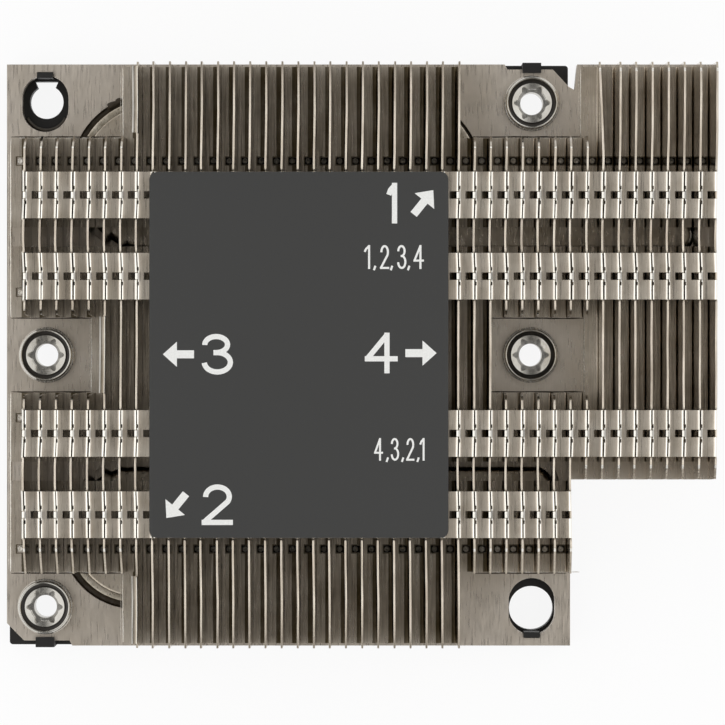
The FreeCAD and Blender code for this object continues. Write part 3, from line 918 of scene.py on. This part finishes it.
smooth_piece("carrier_collar_highlights", collar_highlights, collar_highlight_finish)
smooth_piece("groove_flush", flush, solder_finish)

# %% [markdown]
# ## Turned pieces
# A nut and its bush come off a lathe, so their shape is a row of rings: each ring is a circle of
# points at its own radius and height, and neighbours are bridged. The star socket is the same ring
# with its radius swinging in and out six times, so it bridges to the round ones without a seam.

# %% Rings and bridges
ring_points = 96
star_low = 2.2
star_high = 2.82


def add_ring(bm, x, y, radius, z, star=False, slope=0.0):
    """Edges of one ring of points; a star's points can follow a cone that falls inwards."""
    made = bmesh.ops.create_circle(bm, cap_ends=False, segments=ring_points, radius=1.0)
    for vert in made["verts"]:
        angle = math.atan2(vert.co.y, vert.co.x)
        here = radius
        if star:
            lobes = max(0.0, math.cos(6 * angle))
            here = star_low + (star_high - star_low) * lobes ** 1.6 + radius
        vert.co = (x + here * math.cos(angle), y + here * math.sin(angle), z + (here - star_high) * slope)
    return list({edge for vert in made["verts"] for edge in vert.link_edges})


def turned(rings, x, y):
    """Bridges rings of (radius, z) or (offset, z, "star", slope) in order, and back to the first."""
    bm = bmesh.new()
    loops = []
    for number, ring in enumerate(rings):
        slope = ring[3] if len(ring) > 3 else 0.0
        loops.append(add_ring(bm, x, y, ring[0], ring[1] + 0.004 * (number % 2), len(ring) > 2, slope))
    for one, other in zip(loops, loops[1:] + loops[:1]):
        bmesh.ops.bridge_loops(bm, edges=one + other)
    face_outwards(bm)
    return bm


def arc_rings(center_radius, center_z, radius, start, stop, steps):
    """Rings along a rounded edge, angles in degrees from outward to up."""
    rings = []
    for step in range(steps + 1):
        angle = math.radians(start + (stop - start) * step / steps)
        rings.append((center_radius + radius * math.cos(angle), center_z + radius * math.sin(angle)))
    return rings


print("points in a ring", ring_points)

# %% The four nuts and their bushes
thread_radius = 1.75
shank_radius = 3.3
clip_groove_radius = 2.85
shoulder_z = 5.14
rounding = 0.22
star_slope = 0.24
bush_inner = 3.6
for node in sorted(nodes):
    if not node.startswith("nut_"):
        continue
    name = node[4:]
    low, high = low_high(node)
    x, y = (low.x + high.x) / 2, (low.y + high.y) / 2
    top = high.z
    bottom = low.z
    rim = (high.x - low.x) / 2
    rings = [(thread_radius, bottom + 0.35), (2.1, bottom), (3.05, bottom), (shank_radius, bottom + 0.25)]
    rings += [(shank_radius, 0.3), (clip_groove_radius, 0.3), (clip_groove_radius, 0.8), (shank_radius, 0.8)]
    rings += [(shank_radius, shoulder_z), (rim - 0.1, shoulder_z), (rim, 5.3)]
    rings += arc_rings(rim - rounding, top - rounding, rounding, 0, 180, 8)
    rings += [(3.64, top - 1.9), (3.45, top - 2.1), (3.2, top - 1.9), (3.16, top - 0.7)]
    rings += [(3.08, top - 0.52), (0.04, top - 0.6, "star", star_slope)]
    rings += [(0.0, top - 0.66, "star", star_slope), (0.0, top - 3.3, "star")]
    rings += [(1.8, top - 3.32), (thread_radius, top - 3.5)]
    piece = finish_piece("turned_" + node, turned(rings, x, y), nut_finish, "captive_nut_" + name)
    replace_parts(piece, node)
    # The dark ring in the groove round the nut is painted shade.
    recess = turned([(3.63, top - 0.55), (3.63, top - 1.6), (3.18, top - 1.6), (3.18, top - 0.8)], x, y)
    finish_piece("recess_shade_" + node, recess, recess_shade_finish, "captive_nut_" + name)
    bush = [(bush_inner, 1.0), (4.28, 1.0), (4.28, 5.0), (4.33, 5.0), (4.33, 5.04), (4.25, 5.1),
            (4.0, 5.12), (3.75, 5.12), (bush_inner, 5.05)]
    piece = finish_piece("turned_bush_" + name, turned(bush, x, y), bush_finish)
    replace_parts(piece, "bush_" + name)
    print(name, "nut at", round(x, 2), round(y, 2))

# %% [markdown]
# ## The label plate
# A film cut with round corners. It starts as one face, its corners are bevelled, and it is given its
# thickness by an extrusion. Plain numerals and arrows are printed on it as a hair-thin layer of ink,
# and the places of its words stay bare.

# %% Label film
label_low, label_high = low_high("label_plate")


def rounded_sheet(low, high, radius, z0, z1, soften):
    """Flat sheet with round corners and slightly rounded top edges."""
    bm = flat_rectangle(low.x, low.y, high.x, high.y, z0)
    bmesh.ops.bevel(bm, geom=bm.verts[:], offset=radius, offset_type="OFFSET", affect="VERTICES",
                    segments=8, profile=0.5, material=-1)
    top = thicken(bm, z1 - z0)
    rim = [edge for edge in bm.edges if all(vert in top for vert in edge.verts)]
    bmesh.ops.bevel(bm, geom=rim, offset=soften, offset_type="OFFSET", affect="EDGES", segments=2,
                    profile=0.5, material=-1)
    face_outwards(bm)
    return bm


cover = Vector((0, 0.08, 0))
film = rounded_sheet(label_low - cover, label_high + cover, 1.2, label_low.z, label_high.z, 0.05)
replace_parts(finish_piece("label_film", film, label_finish), "label_plate")
print("label", round(label_high.x - label_low.x, 2), "by", round(label_high.y - label_low.y, 2))

# %% Ink strokes
# A figure is drawn with a pen: its middle lines run from -1 to 1 both ways, and the pen's width is
# added round them. Arcs are ellipses given by their middle, half sizes and two angles in degrees.
ink_low = label_high.z - 0.005
ink_high = label_high.z + 0.02


def ellipse(center_x, center_y, half_x, half_y, start, stop):
    """Points of an arc every ten degrees or so."""
    count = max(2, round(abs(stop - start) / 10))
    angles = [math.radians(start + (stop - start) * step / count) for step in range(count + 1)]
    return [(center_x + half_x * math.cos(angle), center_y + half_y * math.sin(angle)) for angle in angles]


upper_bowl = ellipse(-0.09, 0.546, 0.873, 0.454, 183, -90)
lower_bowl = ellipse(0.0, -0.454, 1.0, 0.546, 90, -177)
figure_strokes = {
    "1": [([(1.0, 1.0), (1.0, -1.0)], True), ([(1.0, 1.0), (-0.5, 0.74), (-1.15, 0.47)], False)],
    "2": [(ellipse(0.015, 0.454, 0.91, 0.546, 182, -32) + [(-0.96, -0.95)], False),
          ([(-1.0, -1.0), (1.0, -1.0)], True)],
    "3": [(upper_bowl + [(-0.3, 0.092)], False), ([(-0.3, 0.092)] + lower_bowl, False)],
    "4": [([(0.413, 1.0), (0.413, -1.0)], True), ([(-1.0, -0.327), (1.0, -0.327)], True),
          ([(0.39, 1.0), (-0.96, -0.28)], False)],
    ",": [([(0.6, 1.0), (-0.6, -1.0)], False)],
}


def pen_stroke(bm, points, width, square, z):
    """Flat stroke of a pen along points, with square ends that reach over or plain ones."""
    points = [Vector((x, y, z)) for x, y in points]
    steps = [(other - one).normalized() for one, other in zip(points, points[1:])]
    if square:
        points[0] = points[0] - steps[0] * width / 2
        points[-1] = points[-1] + steps[-1] * width / 2
    pairs = []
    for number, point in enumerate(points):
        before = steps[max(0, number - 1)]
        after = steps[min(len(steps) - 1, number)]
        ahead = (before + after).normalized()
        side = Vector((-ahead.y, ahead.x, 0)) * width / 2 / max(0.5, ahead.dot(after))
        pairs.append((bm.verts.new(point + side), bm.verts.new(point - side)))
    for (left, right), (next_left, next_right) in zip(pairs, pairs[1:]):
        bm.faces.new((left, right, next_right, next_left))


def raise_ink(bm):
    """Gives flat ink its hair-thin layer."""
    thicken(bm, ink_high - ink_low)
    face_outwards(bm)


def ink_figures(name, figures, y, height, pen):
    """Printed figures at a height of the label: each is its text, the middle's x and the width."""
    bm = bmesh.new()
    layer = 0
    for text, x, width in figures:
        half_x = (width - pen) / 2
        half_y = (height - pen) / 2
        middle_y = y
        if text == ",":
            half_x, half_y, middle_y = 0.2, 0.34, y - height / 2 + 0.15
        for points, square in figure_strokes[text]:
            placed = [(x + u * half_x, middle_y + v * half_y) for u, v in points]
            pen_stroke(bm, placed, pen, square, ink_low + 0.002 * (layer % 4))
            layer += 1
    raise_ink(bm)
    finish_piece(name, bm, ink_finish)


def ink_arrow(name, x, y, angle):
    """Printed arrow with its middle at a place of the label, turned anticlockwise by the angle."""
    half = [(2.38, 0.0), (0.23, 1.92), (0.23, 0.61), (-2.38, 0.61)]
    outline = half + [(u, -v) for u, v in reversed(half) if v]
    bm = bmesh.new()
    bm.faces.new([bm.verts.new((u, v, 0)) for u, v in outline])
    bmesh.ops.rotate(bm, matrix=Matrix.Rotation(math.radians(angle), 3, "Z"), verts=bm.verts)
    bmesh.ops.translate(bm, vec=(x, y, ink_low), verts=bm.verts)
    raise_ink(bm)
    finish_piece(name, bm, ink_finish)


print("figures drawn", sorted(figure_strokes))

# %% Ink: numerals and arrows
numeral_height = 6.2
bold_pen = 0.8
numerals = (("1", 16.04, 23.14, 1.62), ("2", -10.59, -22.86, 4.77), ("3", -10.58, 0.09, 4.77),
            ("4", 14.42, 0.28, 5.02))
arrows = ((20.86, 23.27, 51), (-16.86, -23.04, 231), (-16.52, 0.08, 180), (20.48, 0.26, 0))
for text, x, y, width in numerals:
    ink_figures("ink_numeral_" + text, [(text, x, width)], y, numeral_height, bold_pen)
for number, (x, y, angle) in enumerate(arrows, 1):
    ink_arrow("ink_arrow_" + str(number), x, y, angle)
up_row = [("1", 12.25, 0.95), (",", 13.41, 0), ("2", 14.93, 1.42), (",", 15.99, 0), ("3", 17.55, 1.42),
          (",", 18.6, 0), ("4", 20.13, 1.6)]
down_row = [("4", 14.01, 1.38), (",", 15.34, 0), ("3", 16.51, 1.28), (",", 17.68, 0), ("2", 18.85, 1.26),
            (",", 20.03, 0), ("1", 20.64, 0.78)]
ink_figures("ink_sequence_up", up_row, 14.92, 3.65, 0.32)
ink_figures("ink_sequence_down", down_row, -14.42, 3.45, 0.3)

# %% [markdown]
# ## Camera, floor and light
# The picture was taken from straight above, a little to the right of the part's middle, from far
# enough away that the fins' tops are only two hundredths larger than their feet. The floor is plain
# and pale. It shows as near white to the camera and in reflections, and takes a little of the part's shadow.

# %% Camera
camera_data = bpy.data.cameras.new("Overhead camera")
camera_data.sensor_width = 36.0
camera_data.lens = 276.8
camera_data.clip_end = 20.0
camera = add_object("Overhead camera", camera_data)
camera.location = (0.01156, -0.00117, 0.876)
bpy.context.scene.camera = camera
print("camera at", tuple(round(v, 4) for v in camera.location))

# %% Floor
floor_mesh = bpy.data.meshes.new("floor")
bm = bmesh.new()
bmesh.ops.create_grid(bm, x_segments=1, y_segments=1, size=3.0)
bmesh.ops.translate(bm, vec=(0, 0, cad_low[2] - 0.0002), verts=bm.verts)
bm.to_mesh(floor_mesh)
bm.free()
floor = add_object("floor", floor_mesh)
floor_finish = bpy.data.materials.new("Pale floor")
floor_finish.use_nodes = True
tree = floor_finish.node_tree
shader = tree.nodes["Principled BSDF"]
shader.inputs["Base Color"].default_value = (0.9, 0.9, 0.9, 1.0)
shader.inputs["Roughness"].default_value = 0.9
shader.inputs["Specular IOR Level"].default_value = 0.0
glow = tree.nodes.new("ShaderNodeEmission")
glow.inputs["Strength"].default_value = 1.0
path = tree.nodes.new("ShaderNodeLightPath")
seen = add_math(tree, "MAXIMUM", path.outputs["Is Camera Ray"], path.outputs["Is Glossy Ray"])
seen = add_math(tree, "MAXIMUM", seen, path.outputs["Is Transmission Ray"])
glow_share = 0.9
blend = tree.nodes.new("ShaderNodeMixShader")
tree.links.new(add_math(tree, "MULTIPLY", seen, glow_share), blend.inputs[0])
tree.links.new(shader.outputs[0], blend.inputs[1])
tree.links.new(glow.outputs[0], blend.inputs[2])
tree.links.new(blend.outputs[0], tree.nodes["Material Output"].inputs["Surface"])
floor_mesh.materials.append(floor_finish)
print("floor at", round(cad_low[2] / MM, 2), "mm")

# %% World
world = bpy.data.worlds.new("Plain room")
bpy.context.scene.world = world
world.use_nodes = True
tree = world.node_tree
room = tree.nodes["Background"]
room.inputs["Color"].default_value = (1.0, 1.0, 1.0, 1.0)
path = tree.nodes.new("ShaderNodeLightPath")
direction = tree.nodes.new("ShaderNodeTexCoord")
sideways = tree.nodes.new("ShaderNodeSeparateXYZ")
tree.links.new(direction.outputs["Generated"], sideways.inputs["Vector"])
ceiling_level = 0.12
wall_level = 1.2
either_side = add_math(tree, "ABSOLUTE", sideways.outputs["X"])
walls = add_range(tree, either_side, ceiling_level, wall_level, 0.05, 0.30)
walls.node.interpolation_type = "SMOOTHSTEP"
strength = add_math(tree, "MAXIMUM", path.outputs["Is Camera Ray"], walls)
tree.links.new(strength, room.inputs["Strength"])
print("room from", ceiling_level, "overhead to", wall_level, "at the sides")


# %% Lamps
def soft_lamp(name, place, target, size, power):
    """Square soft lamp that points at a place."""
    data = bpy.data.lights.new(name, "AREA")
    data.size = size
    data.energy = power
    lamp = add_object(name, data)
    lamp.location = place
    direction = Vector(target) - Vector(place)
    lamp.rotation_euler = direction.to_track_quat("-Z", "Y").to_euler()
    lamp.visible_camera = False


lamp_size = 0.5
lamp_power = 0.4
soft_lamp("Lamp left", (-0.95, 0.15, 0.65), (0, 0, 0), lamp_size, lamp_power)
soft_lamp("Lamp right", (0.95, -0.15, 0.65), (0, 0, 0), lamp_size, lamp_power)
bpy.context.scene.view_settings.view_transform = "Standard"

# %% Sizes
print("cad box", cad_low, cad_high)
